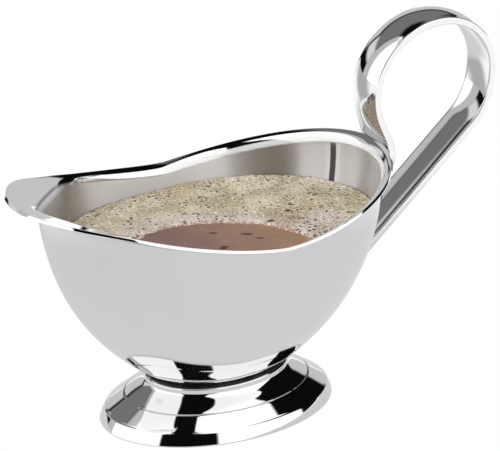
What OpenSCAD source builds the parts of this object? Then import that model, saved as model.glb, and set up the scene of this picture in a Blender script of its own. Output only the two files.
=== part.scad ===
// Stainless-steel gravy boat: pressed bowl with a pouring lip, oval pedestal foot, looped strap handle.
// Frame: origin at the middle of the whole boat's box, on the table; +X towards the handle, +Z up, millimetres.
// The shapes are drawn about the foot's centre and moved into that frame at the end.

/* [Bowl] */
// Distance from the foot's centre back to the top of the rear wall
mouth_rear = 65.5; // [62:0.1:66]
// Distance from the foot's centre forward to the top of the spout wall
mouth_front = 71.1; // [68:0.1:73]
// Distance of the widest section behind the foot's centre
mouth_mid = 9; // [4:0.5:14]
// Half the width of the mouth across the outside of the walls
mouth_half_w = 42.6; // [40:0.1:43]
// How fast the walls spread apart behind the spout: half the width gained per unit of length
spout_spread = 1.14; // [1:0.01:1.3]
// Roundness of the point where the walls meet in the spout
spout_round = 3.5; // [2.5:0.1:5]
// Sheet thickness
sheet_t = 1.2; // [0.8:0.1:2]
// Height of the bowl's underside at the middle
bottom_z = 11.5; // [10:0.1:13]
// Slope of the underside where the foot meets it, at the rear
seat_slope_rear = 30; // [26:1:36]
// Slope of the underside where the foot meets it, at the front
seat_slope_front = 34; // [28:1:38]
// Slope of the underside where the foot meets it, at the sides
seat_slope_side = 38; // [30:1:44]
// Lean of the wall's top out from vertical, at the spout and the sides
wall_lean = 8; // [4:1:14]
// Lean of the wall's top out from vertical, at the rear
wall_lean_rear = 2; // [0:1:8]

/* [Rim] */
// Height of the rim at its lowest
rim_low_z = 78.5; // [74:0.1:82]
// Where the rim is lowest, behind the foot's centre
rim_low_x = 3; // [0:0.5:8]
// How fast the rim climbs towards the spout: its height there if nothing levelled it
spout_rise = 19.8; // [14:0.1:24]
// How much the tongue is levelled off below that at its tip
lip_level = 3; // [0:0.1:5]
// How much higher the rim's rear end is than the low point
rear_rise = 11.7; // [9:0.1:14]
// Power of the curve by which the rim rises to both ends
rise_power = 1.43; // [1.2:0.01:2]
// Distance from the foot's centre forward to the spout's tip
lip_tip = 80.5; // [78:0.1:86]
// Distance from the foot's centre back to the flange's rear edge
flange_rear = 68.5; // [68.2:0.1:70]
// Half the width across the flange
flange_half_w = 45.6; // [45.2:0.1:48]
// How blunt the spout's tongue is: 0 is an ellipse
lip_fullness = 0.14; // [0.05:0.01:0.2]
// Slope at which the flange rises outwards
flare_slope = 0.38; // [0.2:0.01:0.5]
// The most that the flange rises from its inner to its outer edge
flare_most = 2.2; // [1.5:0.1:2.6]
// Drop from the flange to the top of the straight wall
arch_drop = 1.8; // [1.6:0.1:2.4]

/* [Foot] */
// Half the length of the foot
foot_half_l = 45.8; // [44:0.1:48]
// Width of the foot as a share of its length
foot_aspect = 0.7; // [0.66:0.005:0.74]
// Height of the foot's edge band
foot_edge_h = 4.8; // [4.2:0.1:5.6]
// How much the edge band leans in from the table to its top
edge_draft = 1.85; // [1.2:0.05:2.2]
// Half the length of the crease ring where the shelf turns up
ring_half_l = 36.4; // [35.5:0.1:37.5]
// Height of the crease ring
ring_z = 9.2; // [8.6:0.1:9.8]
// Half the length of the joint between the foot's neck and the bowl
neck_half_l = 26; // [25:0.1:27]
// Width of the narrow ledge between that joint and the neck's upright wall
neck_ledge = 2; // [1.6:0.1:2.4]
// Height at which the bowl sits on the neck
seat_z = 17; // [16.8:0.1:17.6]
// Sheet thickness of the foot
foot_t = 1; // [0.8:0.1:1.2]

/* [Handle] */
// Half the width of the strap
strap_half_w = 7.7; // [6.5:0.1:9]
// How much wider each side is where the strap meets the rim
strap_flare = 2.7; // [0:0.1:3.5]
// Thickness of the strap's edges
strap_t = 2.8; // [2.2:0.1:3.2]
// Crown of the strap's outer face
strap_crown = 1.2; // [0:0.1:1.8]
// Hollow of the strap's inner face
strap_hollow = 0.8; // [0:0.1:1.1]
// Height of the top of the loop, on the strap's middle line
loop_top_z = 134.1; // [128:0.5:138]
// Distance of the loop's rear end behind the foot's centre
loop_rear_x = 114.4; // [108:0.5:118]
// Angle of the straight run below the horizontal
run_slope = 41; // [38:1:44]

/* [Welds] */
// Leg of the weld fillet between bowl and foot
seat_bead = 1.5; // [1:0.1:1.7]
// Radius of the weld beads at the handle's two ends
handle_bead_r = 0.9; // [0.7:0.1:1.2]

/* [Hidden] */
AROUND = 96;          // points round the bowl
FOOT_AROUND = 72;     // points round the foot and its weld
steel = "#c9ccd0";
bright = "#dfe2e6";
neck_half_w = neck_half_l * foot_aspect;
mouth_len_front = mouth_mid + mouth_front;
mouth_len_rear = mouth_rear - mouth_mid;
flange_len_front = mouth_mid + lip_tip;
flange_len_rear = flange_rear - mouth_mid;
wall_pull = 0.37;     // length of the wall curve's handles, as a share of its chord
side_len = 110;       // half the length of the flat ellipse that the long sides follow
arch_reach = 2.1;     // how far the arch carries the sheet outwards
arch_share = 0.62;    // most of the flange's width that the arch may take
lip_drop = 1;         // how much deeper the arch is under the tongue
lip_reach = 1.3;      // and how much wider
flank = 0.05;         // slight waist of the flange behind the tongue
neck_z = 14.3;        // height of the foot of the neck's upright wall
ledge_z = 16.1;       // and of its top
centre_x = (loop_rear_x + strap_t/2 + strap_crown - lip_tip) / 2;   // the middle of the whole boat

// ---------- curves ----------
function bez2(a, b, c, t) = a*(1-t)*(1-t) + b*2*t*(1-t) + c*t*t;
function bez3(a, b, c, d, t) = a*pow(1-t, 3) + b*3*t*pow(1-t, 2) + c*3*t*t*(1-t) + d*pow(t, 3);
function dbez3(a, b, c, d, t) = (b-a)*3*pow(1-t, 2) + (c-b)*6*t*(1-t) + (d-c)*3*t*t;
function unit(v) = v / norm(v);
function mix(a, b, f) = a + (b-a)*f;
function smooth(t) = let (c = max(0, min(1, t))) c*c*(3 - 2*c);

// ---------- solids from rings of points ----------
function quad_faces(rings, n, wrap) =
    [for (i = [0 : rings - (wrap ? 1 : 2)], j = [0 : n-1])
        let (a = i*n + j, b = i*n + (j+1)%n, c = ((i+1)%rings)*n + (j+1)%n, d = ((i+1)%rings)*n + j)
        each [[a, b, c], [a, c, d]]];

// A closed band of rings, such as a ring-shaped solid whose section is a loop
module ring_solid(rings) {
    n = len(rings[0]);
    polyhedron(points = [for (r = rings) each r], faces = quad_faces(len(rings), n, true), convexity = 6);
}

// Rings closed by a flat face at each end
module capped_solid(rings) {
    n = len(rings[0]);
    m = len(rings);
    ends = [[for (j = [n-1 : -1 : 0]) j], [for (j = [0 : n-1]) (m-1)*n + j]];
    polyhedron(points = [for (r = rings) each r], faces = concat(quad_faces(m, n, false), ends), convexity = 6);
}

// Rings closed by a single point at each end
module pole_solid(rings, first, last) {
    n = len(rings[0]);
    m = len(rings);
    fan_a = [for (j = [0 : n-1]) [m*n, (j+1)%n, j]];
    fan_b = [for (j = [0 : n-1]) [m*n + 1, (m-1)*n + j, (m-1)*n + (j+1)%n]];
    polyhedron(points = concat([for (r = rings) each r], [first, last]),
               faces = concat(quad_faces(m, n, false), fan_a, fan_b), convexity = 6);
}

// ---------- bowl ----------
function spout_z(s) = spout_rise * pow(s, rise_power) - lip_level * pow(s, 10);
function rear_z_at(s) = rear_rise * pow(s, rise_power);
function rim_z(x) = rim_low_z + (x < rim_low_x
    ? spout_z((rim_low_x - x) / (rim_low_x + lip_tip))
    : rear_z_at((x - rim_low_x) / (flange_rear - rim_low_x)));

// u runs round the bowl: 0 at the rear, 180 at the spout
function vee(run) = spout_spread * sqrt(run * (run + 2*spout_round));
function side(x) = mouth_half_w * sqrt(1 - pow((x - mouth_mid) / side_len, 2));
function mouth_at(u) =
    let (x = mouth_mid + (cos(u) < 0 ? mouth_len_front : mouth_len_rear) * cos(u),
         a = side(x), b = vee(max(0, x + mouth_front)))
    [x, cos(u) < 0 ? sign(sin(u)) * a * b / pow(pow(a, 8) + pow(b, 8), 1/8) : mouth_half_w * sin(u)];
function tongue(u) = cos(u) < 0 ? 1 + flank - (flank + lip_fullness) * smooth((-cos(u) - 0.68) / 0.2) : 1;
function near_lip(u) = smooth((-cos(u) - 0.45) / 0.45);
function flange_at(u) = [mouth_mid + (cos(u) < 0 ? flange_len_front : flange_len_rear) * cos(u),
                         flange_half_w * sign(sin(u)) * pow(abs(sin(u)), tongue(u))];
function seat_at(u) = [neck_half_l * cos(u), neck_half_w * sin(u)];
function seat_slope(u) = mix(seat_slope_side, cos(u) < 0 ? seat_slope_front : seat_slope_rear, cos(u)*cos(u));
function top_lean(u) = cos(u) > 0 ? mix(wall_lean, wall_lean_rear, cos(u)*cos(u)) : wall_lean;

function at(p, z) = [p[0], p[1], z];
function step_out(p, dir, out, up) = p + [dir[0]*out, dir[1]*out, up];

// The bowl's outside surface: CAP, WALL, ARCH and LIP give the points on each stretch of a section
CAP = 3;
WALL = 10;
ARCH = 5;
LIP = 3;
function cap_curve(u, t) =
    let (n = seat_at(u), dir = unit(n), run = (seat_z - bottom_z) / tan(seat_slope(u)))
    bez2([0, 0, bottom_z], at(n - dir*run, bottom_z), at(n, seat_z), t);
function flare_rise(gap) = flare_slope * gap / sqrt(1 + pow(flare_slope * gap / flare_most, 2));
function drop_at(u) = arch_drop + lip_drop * near_lip(u);
function wall_top(u) =
    let (m = mouth_at(u)) at(m, rim_z(m[0]) - sheet_t/2 - drop_at(u) - flare_rise(norm(flange_at(u) - m)));
function wall_curve(u, t) =
    let (a = at(seat_at(u), seat_z), d = wall_top(u), dir = unit(mouth_at(u) - seat_at(u)), pull = wall_pull * norm(d-a),
         s = seat_slope(u), l = top_lean(u))
    bez3(a, step_out(a, dir, pull*cos(s), pull*sin(s)), step_out(d, dir, -pull*sin(l), -pull*cos(l)), d, t);
function arch_end(u) =
    let (m = mouth_at(u), gap = flange_at(u) - m, g = norm(gap),
         run = min(arch_reach + lip_reach * near_lip(u), arch_share * g), p = m + gap * run / g)
    at(p, rim_z(p[0]) - sheet_t/2 - flare_rise(g) * (1 - run/g));
function flange_edge(u) = let (p = flange_at(u)) at(p, rim_z(p[0]) - sheet_t/2);
function arch_curve(u, t) =
    let (a = wall_top(u), d = arch_end(u), dir = unit(mouth_at(u) - seat_at(u)), l = top_lean(u),
         back = unit(flange_edge(u) - d), pull = 0.55 * drop_at(u))
    bez3(a, step_out(a, dir, pull*sin(l), pull*cos(l)), d - back*0.5*norm([d[0]-a[0], d[1]-a[1]]), d, t);
function outside(u) = concat(
    [for (i = [1 : CAP]) cap_curve(u, i/CAP)],
    [for (i = [1 : WALL]) wall_curve(u, i/WALL)],
    [for (i = [1 : ARCH]) arch_curve(u, i/ARCH)],
    [for (i = [1 : LIP]) mix(arch_end(u), flange_edge(u), i/LIP)]);

// The same surface moved in by the sheet thickness, along its own normal
bowl_grid = let (cols = [for (j = [0 : AROUND-1]) outside(360*j/AROUND)])
    [for (i = [0 : len(cols[0])-1]) [for (j = [0 : AROUND-1]) cols[j][i]]];
function grid_normal(g, i, j) =
    let (m = len(g), n = len(g[0]), up = g[min(i+1, m-1)][j] - g[max(i-1, 0)][j], round = g[i][(j+1)%n] - g[i][(j+n-1)%n])
    unit(cross(up, round));
bowl_inner = [for (i = [0 : len(bowl_grid)-1])
    [for (j = [0 : AROUND-1]) bowl_grid[i][j] + sheet_t * grid_normal(bowl_grid, i, j)]];
function reversed(v) = [for (i = [len(v)-1 : -1 : 0]) v[i]];

module bowl() {
    color(bright)
    pole_solid(concat(bowl_inner, reversed(bowl_grid)), [0, 0, bottom_z + sheet_t], [0, 0, bottom_z]);
}

// The bowl filled to its rim, used to trim whatever is fixed to its outside
module bowl_envelope() {
    pole_solid(reversed(bowl_grid), [mouth_mid, 0, rim_low_z], [0, 0, bottom_z]);
}

// ---------- foot ----------
// The outside as [radius, height]: edge band, shelf, crease ring, flare, upright neck and ledge
neck = neck_half_l + neck_ledge;
ring = [ring_half_l, ring_z];
edge_top = [foot_half_l - edge_draft, foot_edge_h - 0.5];
shelf_start = edge_top - [0.95, -0.75];
shelf_end = ring + [0.45, -0.15];
flare_start = ring + [-0.8, 0.3];
flare_end = [neck + 0.12, neck_z];
function edge_curve(t) = bez3([foot_half_l, 0], edge_top + [1.3, -2.5], edge_top + [0.7, -1.2], edge_top, t);
function flare_curve(t) = bez3(flare_start, ring + [-3.7, 2.15], flare_end + [1.03, -1.35], flare_end, t);
foot_outer = concat(
    [for (i = [0 : 4]) edge_curve(i/4)],
    [edge_top + [-0.5, 0.48], shelf_start, mix(shelf_start, shelf_end, 0.5), shelf_end, ring + [-0.2, 0.08]],
    [for (i = [0 : 8]) flare_curve(i/8)],
    [[neck, neck_z + 0.4], [neck, ledge_z - 0.25], [neck - 0.28, ledge_z + 0.1], [neck_half_l, seat_z - 0.05]]);
// The inside is kept plainer: a sheet's thickness below the outside
foot_inner = concat(
    [[foot_half_l - foot_t, 0], edge_curve(0.5) - [foot_t, 0], edge_top - foot_t*[1, 0.55],
     shelf_start - foot_t*[0.55, 0.84], ring - foot_t*[0.5, 0.95]],
    [for (i = [0 : 6]) let (t = i/6) flare_curve(t) - foot_t*[mix(0.52, 0.97, t*t), mix(0.85, 0.25, t*t)]],
    [[neck - foot_t, ledge_z - 0.7], [neck_half_l - 0.35, seat_z - 0.05 - foot_t]]);
foot_section = concat(foot_inner, reversed(foot_outer));

// A loop of [radius, height] points carried round the foot's oval
module oval_ring(section, n) {
    ring_solid([for (p = section) [for (j = [0 : n-1]) let (a = 360*j/n)
        [p[0]*cos(a), p[0]*foot_aspect*sin(a), p[1]]]]);
}

module foot() {
    color(steel) oval_ring(foot_section, FOOT_AROUND);
}

// ---------- handle ----------
run_end = [57.5, 48.5];            // a point inside the rear wall that the straight run is aimed at
run_start_x = 105.9;               // where the loop straightens
run_start = [run_start_x, run_end[1] + (run_start_x - run_end[0]) * tan(run_slope)];
side_z = 109;                      // height of the loop's front side
side_x = 63.9;                     // distance of the loop's front side behind the foot's centre
crown_x = 90.6;                    // where the loop is highest
end_low = [66.6, 75];              // lower tip of the strap's upper end, under the rim
at_rim = [70.2, 86.5];             // the strap as it passes behind the flange
rear_z = 111.5;                    // height of the loop's rear side
k = 0.5523;                        // handle length of a quarter circle's cubic curve
spans = [
    [end_low, end_low + 4*[cos(78), sin(78)], at_rim - [0, 4], at_rim],
    [at_rim, at_rim + [0, 7], [side_x, side_z - 11], [side_x, side_z]],
    [[side_x, side_z], [side_x, side_z + k*(loop_top_z - side_z)],
     [crown_x - k*(crown_x - side_x), loop_top_z], [crown_x, loop_top_z]],
    [[crown_x, loop_top_z], [crown_x + k*(loop_rear_x - crown_x), loop_top_z],
     [loop_rear_x, rear_z + k*(loop_top_z - rear_z)], [loop_rear_x, rear_z]],
    [[loop_rear_x, rear_z], [loop_rear_x, rear_z - 9], run_start + 8*[cos(run_slope), sin(run_slope)], run_start],
    [run_start, mix(run_start, run_end, 1/3), mix(run_start, run_end, 2/3), run_end]];
span_steps = [5, 9, 14, 12, 9, 12];
// Each station: [span, share of that span]
stations = concat([for (s = [0 : len(spans)-1], i = [0 : span_steps[s]-1]) [s, i/span_steps[s]]],
                  [[len(spans)-1, 1]]);
SIDE = 7;                          // points across each face of the strap
edge_r = 0.5;                      // bevel of the strap's edges
flare_end_z = side_z - 4;          // the strap has its plain width above this height
function base_share(st, z) = st[0] > 1 ? 0 : pow(max(0, min(1, (flare_end_z - z) / (flare_end_z - at_rim[1]))), 1.6);
function strap_at(st) =
    let (c = spans[st[0]], p = bez3(c[0], c[1], c[2], c[3], st[1]), d = unit(dbez3(c[0], c[1], c[2], c[3], st[1])),
         b = base_share(st, p[1]), w = strap_half_w + strap_flare*b*(st[0] == 0 ? 0.4 + 0.6*st[1] : 1),
         crown = strap_crown*(1-b), hollow = strap_hollow*(1-b), out = [-d[1], d[0]], h = strap_t/2,
         // the strap bows round the rim where it passes it
         bow = function(y) -b * flange_len_rear * (1 - sqrt(1 - pow(y/flange_half_w, 2))),
         top = [for (i = [0 : SIDE-1]) let (f = 2*i/(SIDE-1) - 1) [f*(w - edge_r), h + crown*(1 - f*f)]],
         under = [for (i = [SIDE-1 : -1 : 0]) let (f = 2*i/(SIDE-1) - 1) [f*(w - edge_r - 0.5), -h + hollow*(1 - f*f)]],
         loop = concat(top, [[w, h - edge_r], [w, edge_r - h]], under, [[-w, edge_r - h], [-w, h - edge_r]]))
    [for (q = loop) [p[0] + out[0]*q[1] + bow(q[0]), q[0], p[1] + out[1]*q[1]]];

module handle() {
    color(bright)
    difference() {
        capped_solid([for (st = stations) strap_at(st)]);
        bowl_envelope();
    }
}

// ---------- welds ----------
// A round bead along a path of points
function bead_rings(path, r, closed) =
    let (m = len(path))
    [for (i = [0 : m-1])
        let (before = closed ? path[(i+m-1)%m] : path[max(i-1, 0)], after = closed ? path[(i+1)%m] : path[min(i+1, m-1)],
             d = unit(after - before), side = unit(cross(d, [0.2, 0.1, 1])), up = cross(side, d))
        [for (a = [0 : 45 : 315]) path[i] + side*r*cos(a) + up*r*sin(a)]];

// The fillet in the corner between the neck's ledge and the bowl's underside
module foot_weld() {
    color(steel)
    ring_solid([for (j = [0 : AROUND-1])
        let (u = 360*j/AROUND, out = unit(seat_at(u)), n = at(seat_at(u), seat_z), up = wall_curve(u, seat_bead / 75),
             low = step_out(n, out, 0.9*seat_bead, -0.05 - 0.42*seat_bead))
        [step_out(n, out, 0, -0.06), step_out(low, out, 0, -0.05), step_out(low, out, 0.2, 0.25),
         step_out(mix(low, up, 0.5), out, 0.3, 0), up]]);
}

// Along the flange's rear edge, in the corner between it and the strap
module handle_upper_weld() {
    reach = 11;   // angle that the bead runs to each side of the middle
    path = [for (i = [-6 : 6]) flange_edge(reach*i/6) + [0, 0, -handle_bead_r]];
    color(steel)
    capped_solid(bead_rings(path, handle_bead_r, false));
}

// Round the strap's lower end, on the rear wall
module handle_lower_weld() {
    reach = 12.5;     // angle that the bead runs to each side of the middle
    middle = 0.55;    // where the strap's end sits on the wall's curve
    half = 0.06;      // share of the wall's curve from there to the bead's top and bottom
    corner = 0.5;     // squareness of the bead's outline
    function turn(a) = sign(a) * pow(abs(a), corner);
    color(steel)
    ring_solid(bead_rings([for (a = [0 : 12 : 348])
        wall_curve(reach*turn(cos(a)), middle + half*turn(sin(a))) + [0.6, 0, -0.3]], handle_bead_r, true));
}

module in_frame() {
    translate([-centre_x, 0, 0]) children();
}

in_frame() bowl();
in_frame() foot();
in_frame() handle();
in_frame() foot_weld();
in_frame() handle_upper_weld();
in_frame() handle_lower_weld();
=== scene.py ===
import math

import bpy
import numpy as np
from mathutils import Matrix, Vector
from mathutils.bvhtree import BVHTree


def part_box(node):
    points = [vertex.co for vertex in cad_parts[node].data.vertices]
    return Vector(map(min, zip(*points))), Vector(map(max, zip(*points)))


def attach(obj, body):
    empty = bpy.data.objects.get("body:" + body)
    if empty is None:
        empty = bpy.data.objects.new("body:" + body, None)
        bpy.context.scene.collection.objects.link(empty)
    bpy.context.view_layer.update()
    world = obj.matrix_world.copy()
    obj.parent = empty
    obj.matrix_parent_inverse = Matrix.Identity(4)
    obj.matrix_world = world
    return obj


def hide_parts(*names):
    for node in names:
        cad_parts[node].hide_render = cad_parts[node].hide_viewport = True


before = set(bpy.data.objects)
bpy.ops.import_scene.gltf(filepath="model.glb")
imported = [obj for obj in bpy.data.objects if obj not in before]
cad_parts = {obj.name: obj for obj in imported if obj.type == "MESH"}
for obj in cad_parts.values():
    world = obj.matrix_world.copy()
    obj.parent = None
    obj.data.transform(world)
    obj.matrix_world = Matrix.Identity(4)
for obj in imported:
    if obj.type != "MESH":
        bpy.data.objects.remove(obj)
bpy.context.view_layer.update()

MM = 0.001                      # shapes are worked out in millimetres and written in metres
scene = bpy.context.scene


def box_mm(node):
    lo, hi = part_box(node)
    return np.array(lo) / MM, np.array(hi) / MM


# ---------------------------------------------------------------- dimensions
bowl_lo, bowl_hi = box_mm("bowl")
foot_lo, foot_hi = box_mm("foot")
handle_lo, handle_hi = box_mm("handle")

# Shapes below are measured from the middle of the foot; mesh_piece() puts that point where the CAD has it.
FOOT_X = (foot_lo[0] + foot_hi[0]) / 2
for corner in (bowl_lo, bowl_hi, foot_lo, foot_hi, handle_lo, handle_hi):
    corner[0] -= FOOT_X

SHEET_T = 1.2
LIP_TIP = -bowl_lo[0]
FLANGE_REAR = bowl_hi[0]
FLANGE_HALF_W = bowl_hi[1]
BOTTOM_Z = bowl_lo[2]
MOUTH_MID = 9.0
MOUTH_FRONT = LIP_TIP - 9.4
MOUTH_REAR = FLANGE_REAR - 3.0
MOUTH_HALF_W = FLANGE_HALF_W - 3.0
# the wall's outline: long sides that meet in a rounded V
SIDE_LEN, SPOUT_SPREAD, SPOUT_ROUND = 110.0, 1.14, 3.5
SEAT_Z = 17.0
SEAT_SLOPE_FRONT, SEAT_SLOPE_REAR, SEAT_SLOPE_SIDE = (math.radians(a) for a in (34, 30, 38))
WALL_LEAN, WALL_LEAN_REAR = math.radians(8), math.radians(2)
WALL_PULL = 0.37
ARCH_DROP, ARCH_REACH, ARCH_SHARE = 1.8, 2.1, 0.62
FLARE_SLOPE, FLARE_MOST = 0.38, 2.2    # how steeply the rim rises outwards, and by how much at most
FLANK, LIP_FULLNESS = 0.05, 0.14       # slight waist behind the tongue, and how blunt the tongue is
RIM_LOW_Z, RIM_LOW_X = 78.5, 3.0
SPOUT_RISE, LIP_LEVEL, REAR_RISE, RISE_POWER = 19.8, 3.0, 11.7, 1.43

FOOT_HALF_L = foot_hi[0]
FOOT_ASPECT = foot_hi[1] / foot_hi[0]
FOOT_EDGE_H, EDGE_LEAN, FOOT_T = 4.8, 1.85, 1.0
RING_HALF_L, RING_Z = 36.4, 9.2
NECK_LEDGE, NECK_Z, LEDGE_Z = 2.0, 14.3, 16.1
NECK_HALF_L, SEAT_BEAD = 26.0, 0.62
NECK_HALF_W = NECK_HALF_L * FOOT_ASPECT

STRAP_HALF_W, STRAP_FLARE, STRAP_T, STRAP_CROWN, STRAP_HOLLOW = 7.7, 2.7, 2.8, 1.2, 0.8
LOOP_TOP_Z = handle_hi[2] - STRAP_T / 2 - STRAP_CROWN
LOOP_REAR_X = handle_hi[0] - STRAP_T / 2 - STRAP_CROWN
RUN_SLOPE = math.radians(41)
GRAVY_Z = 68.9
CAM_AZ, CAM_EL, CAM_D = math.radians(-31), math.radians(24), 1.2
VIEW_WIDE = 181                 # millimetres that the picture spans at the boat
SHIFT_X, SHIFT_Y = 0.02, 0.045  # how far the picture is moved off the target, in picture widths


# ---------------------------------------------------------------- small curve helpers (arrays of points)
def mix(a, b, f):
    return a + (b - a) * f


def unit(v):
    v = np.asarray(v, float)
    return v / np.maximum(np.linalg.norm(v, axis=-1, keepdims=True), 1e-12)


def bez2(a, b, c, t):
    return a * (1 - t) ** 2 + b * 2 * t * (1 - t) + c * t * t


def bez3(a, b, c, d, t):
    return a * (1 - t) ** 3 + b * 3 * t * (1 - t) ** 2 + c * 3 * t * t * (1 - t) + d * t ** 3


def dbez3(a, b, c, d, t):
    return (b - a) * 3 * (1 - t) ** 2 + (c - b) * 6 * t * (1 - t) + (d - c) * 3 * t * t


def smooth01(t):
    t = np.clip(t, 0, 1)
    return t * t * (3 - 2 * t)


def mesh_piece(name, verts, faces, node_names, material):
    """A piece of the object from points in millimetres."""
    me = bpy.data.meshes.new(name)
    me.from_pydata(((np.asarray(verts, float) + [FOOT_X, 0, 0]) * MM).tolist(), [], faces)
    me.validate(clean_customdata=False)
    me.update()
    me.shade_smooth()
    o = bpy.data.objects.new(name, me)
    scene.collection.objects.link(o)
    me.materials.append(material)
    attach(o, "root")
    if node_names:
        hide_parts(*node_names)
    return o


def strip_faces(rows, n, wrap_rows=False, first=0):
    """Quads between rows of n points that run round a closed outline."""
    out = []
    for i in range(rows if wrap_rows else rows - 1):
        a, b = first + i * n, first + ((i + 1) % rows) * n
        for j in range(n):
            k = (j + 1) % n
            out.append((a + j, a + k, b + k, b + j))
    return out


def turned_over(faces):
    """The same faces, each facing the other way."""
    return [f[:1] + f[:0:-1] for f in faces]


# ---------------------------------------------------------------- bowl
BOWL_AROUND = 384
CAP_N, WALL_N, ARCH_N, LIP_N, EDGE_N = 7, 56, 18, 8, 24
EDGE_OUT, EDGE_DRAFT = 0.3, 0.26        # the cut edge is square with softened corners


def rim_z(x):
    s_front = np.clip((RIM_LOW_X - x) / (RIM_LOW_X + LIP_TIP), 0, None)
    s_rear = np.clip((x - RIM_LOW_X) / (FLANGE_REAR - RIM_LOW_X), 0, None)
    spout = SPOUT_RISE * s_front ** RISE_POWER - LIP_LEVEL * s_front ** 10
    return RIM_LOW_Z + np.where(x < RIM_LOW_X, spout, REAR_RISE * s_rear ** RISE_POWER)


def mouth_outline(u):
    """The top of the wall in plan: half an ellipse behind, long sides meeting in a rounded V at the spout."""
    c, s = np.cos(u), np.sin(u)
    x = MOUTH_MID + np.where(c < 0, MOUTH_MID + MOUTH_FRONT, MOUTH_REAR - MOUTH_MID) * c
    side = MOUTH_HALF_W * np.sqrt(np.clip(1 - ((x - MOUTH_MID) / SIDE_LEN) ** 2, 0, 1))
    run = np.clip(x + MOUTH_FRONT, 0, None)
    vee = SPOUT_SPREAD * np.sqrt(run * (run + 2 * SPOUT_ROUND))
    front = side * vee / (side ** 8 + vee ** 8) ** 0.125
    return np.stack([x, np.where(c < 0, np.sign(s) * front, MOUTH_HALF_W * s)], -1)


def flange_outline(u):
    c, s = np.cos(u), np.sin(u)
    power = np.where(c < 0, 1 + FLANK - (FLANK + LIP_FULLNESS) * smooth01((-c - 0.68) / 0.2), 1)
    return np.stack([MOUTH_MID + np.where(c < 0, MOUTH_MID + LIP_TIP, FLANGE_REAR - MOUTH_MID) * c,
                     FLANGE_HALF_W * np.sign(s) * np.abs(s) ** power], -1)


def flare_rise(gap):
    return FLARE_SLOPE * gap / np.sqrt(1 + (FLARE_SLOPE * gap / FLARE_MOST) ** 2)


def bowl_section(u):
    """The outside surface at angle u (0 rear, pi spout), from the middle of the underside to the flange."""
    c = np.cos(u)[:, None]
    mouth, flange = mouth_outline(u), flange_outline(u)
    seat = np.stack([NECK_HALF_L * np.cos(u), NECK_HALF_W * np.sin(u)], -1)
    slope = mix(SEAT_SLOPE_SIDE, np.where(c < 0, SEAT_SLOPE_FRONT, SEAT_SLOPE_REAR), c * c)
    lip = smooth01((-c - 0.45) / 0.45)
    arch_drop = ARCH_DROP + 1.0 * lip
    lean = np.where(c > 0, mix(WALL_LEAN, WALL_LEAN_REAR, c * c), WALL_LEAN)
    n = len(u)

    def at(p, z):
        return np.concatenate([p, np.broadcast_to(np.reshape(z, (-1, 1)), (n, 1))], -1)

    def moved(p, direction, out, up):
        return p + np.concatenate([direction * out, np.broadcast_to(up, (n, 1))], -1)

    bottom = np.tile([0.0, 0.0, BOTTOM_Z], (n, 1))
    seat3 = at(seat, SEAT_Z)
    run = (SEAT_Z - BOTTOM_Z) / np.tan(slope)
    knee = at(seat - unit(seat) * run, BOTTOM_Z)
    direction = unit(mouth - seat)
    gap = flange - mouth
    gap_len = np.linalg.norm(gap, axis=1, keepdims=True)
    rise = flare_rise(gap_len)
    arch_run = np.minimum(ARCH_REACH + 1.3 * lip, ARCH_SHARE * gap_len)
    top = at(mouth, rim_z(mouth[:, 0]) - SHEET_T / 2 - (arch_drop + rise)[:, 0])
    pull = WALL_PULL * np.linalg.norm(top - seat3, axis=1, keepdims=True)
    wall_a = moved(seat3, direction, pull * np.cos(slope), pull * np.sin(slope))
    wall_b = moved(top, direction, -pull * np.sin(lean), -pull * np.cos(lean))
    arch_xy = mouth + gap / gap_len * arch_run
    arch = at(arch_xy, rim_z(arch_xy[:, 0]) - SHEET_T / 2 - (rise * (1 - arch_run / gap_len))[:, 0])
    edge = at(flange, rim_z(flange[:, 0]) - SHEET_T / 2)
    back = unit(edge - arch)
    arch_a = moved(top, direction, 0.55 * arch_drop * np.sin(lean), 0.55 * arch_drop * np.cos(lean))
    arch_b = arch - back * 0.5 * np.linalg.norm(arch_xy - mouth, axis=1, keepdims=True)
    lip_end = edge - back * EDGE_OUT
    rows = [bez2(bottom, knee, seat3, t) for t in np.linspace(0, 1, CAP_N + 1)[1:]]
    rows += [bez3(seat3, wall_a, wall_b, top, t) for t in np.linspace(0, 1, WALL_N + 1)[1:]]
    rows += [bez3(top, arch_a, arch_b, arch, t) for t in np.linspace(0, 1, ARCH_N + 1)[1:]]
    rows += [mix(arch, lip_end, t) for t in np.linspace(0, 1, LIP_N + 1)[1:]]
    return np.array(rows), back


def grid_normals(g):
    up = np.empty_like(g)
    up[1:-1] = g[2:] - g[:-2]
    up[0], up[-1] = g[1] - g[0], g[-1] - g[-2]
    around = np.roll(g, -1, axis=1) - np.roll(g, 1, axis=1)
    return unit(np.cross(up, around))


bowl_u = np.linspace(0, 2 * math.pi, BOWL_AROUND, endpoint=False)
outer, lip_out = bowl_section(bowl_u)
inward = grid_normals(outer)
inner = outer + inward * SHEET_T


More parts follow.
